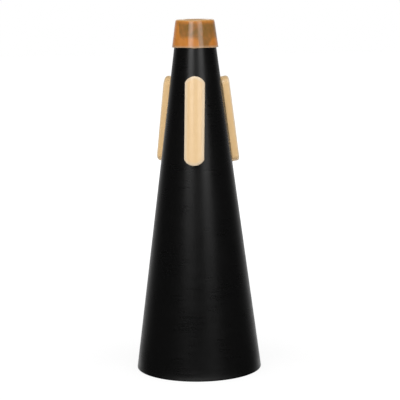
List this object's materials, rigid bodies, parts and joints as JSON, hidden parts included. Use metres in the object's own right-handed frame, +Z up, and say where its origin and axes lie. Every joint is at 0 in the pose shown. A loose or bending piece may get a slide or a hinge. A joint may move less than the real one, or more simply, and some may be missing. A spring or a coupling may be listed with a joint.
{
  "type": "trumpet practice mute",
  "caption": "Slim black conical brass mute standing on its wide end, with a translucent amber cap on the open tip and long cream foam pads on the flank that grip the inside of a bell.",
  "frame": {"origin": "centre of the base rim, on the surface that the mute stands on", "axes": "+Z up the cone's axis from the wide base to the tip, -Y towards the front pad, +X to the right"},
  "size_m": [0.0716, 0.0716, 0.2],
  "materials": {
    "black_abs": "satin",
    "amber_rubber": "satin",
    "cream_foam": "matte",
    "grey_felt": "matte",
    "adhesive_film": "satin"
  },
  "bodies": {
    "mute": {"adhesive_film_front": "adhesive_film", "adhesive_film_left": "adhesive_film", "adhesive_film_right": "adhesive_film", "base_plate": "black_abs", "cone_shell": "black_abs", "damping_felt": "grey_felt", "foam_pad_front": "cream_foam", "foam_pad_left": "cream_foam", "foam_pad_right": "cream_foam", "vent_tube": "black_abs"},
    "cap": {"tip_cap": "amber_rubber"}
  },
  "joints": [
    {"name": "cap_pull_off", "type": "slide", "parent": "mute", "child": "cap", "axis": [0, 0, 1], "range_m": [0, 0.02]}
  ]
}
